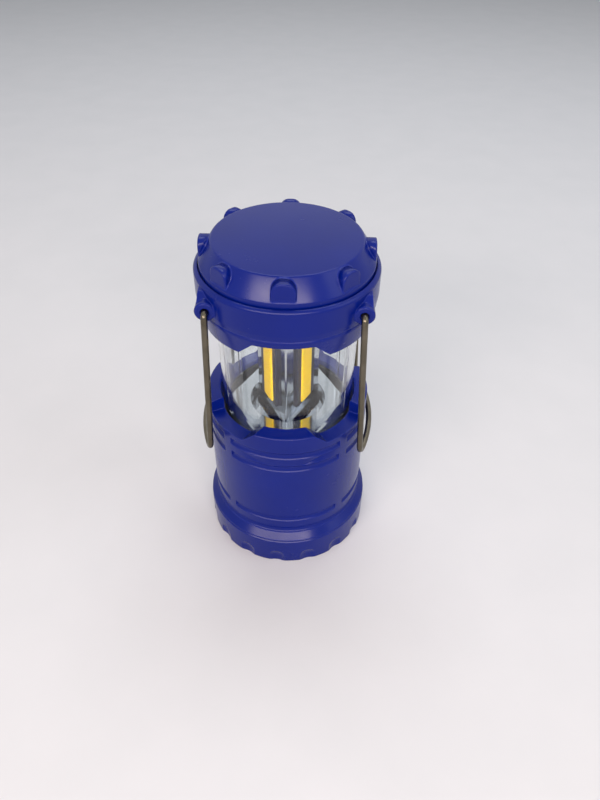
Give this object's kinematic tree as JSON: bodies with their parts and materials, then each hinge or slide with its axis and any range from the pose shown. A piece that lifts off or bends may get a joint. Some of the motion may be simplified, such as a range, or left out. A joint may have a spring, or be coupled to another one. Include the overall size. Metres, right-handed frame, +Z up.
{
  "type": "camping lantern",
  "caption": "Pop-up camping lantern: domed lugged cap, clear chimney over a chrome three-sided light column, grooved battery base, wire bails.",
  "frame": {"origin": "centre of the foot, on the surface that the lantern stands on", "axes": "+Z up along the lantern's axis, front (key rib, notch and lug) at -Y, bails at -X and +X, head drawn up"},
  "size_m": [0.062, 0.062, 0.1234],
  "materials": {
    "blue_shell": "satin-gloss royal blue ABS",
    "clear_plastic": "clear polished polystyrene",
    "chrome_plate": "vacuum-metallised chrome on ABS",
    "board": "near-black solder mask",
    "phosphor": "satin silicone phosphor",
    "contact_brass": "bright rolled spring brass",
    "nickel": "nickel-plated spring steel",
    "rubber": "matt black nitrile",
    "screw_steel": "zinc-plated",
    "bail_wire": "dull nickel plate on drawn wire",
    "black_plastic": "black moulded ABS",
    "cell_sleeve": "plain shrink sleeve, no print"
  },
  "bodies": {
    "base": {"base_shell": "blue_shell", "reflector": "chrome_plate", "battery_holder": "black_plastic", "cell_rear": "cell_sleeve", "cell_left": "cell_sleeve", "cell_right": "cell_sleeve", "output_contact": "nickel", "bridge_contact": "nickel", "contact_rail_left": "nickel", "contact_rail_right": "nickel", "holder_screws": "screw_steel", "cover_seal": "rubber"},
    "head": {"top_cap": "blue_shell", "cap_ring": "blue_shell", "chimney": "clear_plastic", "light_column": "chrome_plate", "led_board_left": "board", "led_board_right": "board", "led_board_rear": "board", "led_strip_left": "phosphor", "led_strip_right": "phosphor", "led_strip_rear": "phosphor", "contact_finger_left": "contact_brass", "contact_finger_right": "contact_brass", "friction_band": "rubber", "cap_screws": "screw_steel", "column_screws": "screw_steel"},
    "handle_left": {"handle_left": "bail_wire"},
    "handle_right": {"handle_right": "bail_wire"},
    "cover": {"bottom_cover": "blue_shell", "cover_bridge": "nickel", "cover_return": "nickel", "spring_rear": "nickel", "spring_left": "nickel", "spring_right": "nickel"}
  },
  "joints": [
    {"name": "head_slide", "type": "slide", "parent": "base", "child": "head", "axis": [0, 0, 1], "range_m": [-0.036, 0]},
    {"name": "bail_left", "type": "hinge", "parent": "head", "child": "handle_left", "pos_m": [-0.02329, 0, 0.1092], "axis": [0, 1, 0], "range_deg": [0, 178]},
    {"name": "bail_right", "type": "hinge", "parent": "head", "child": "handle_right", "pos_m": [0.02329, 0, 0.1092], "axis": [0, -1, 0], "range_deg": [0, 178]},
    {"name": "cover_turn", "type": "hinge", "parent": "base", "child": "cover", "pos_m": [0, 0, 0.006], "axis": [0, 0, -1], "range_deg": [0, 30]}
  ]
}
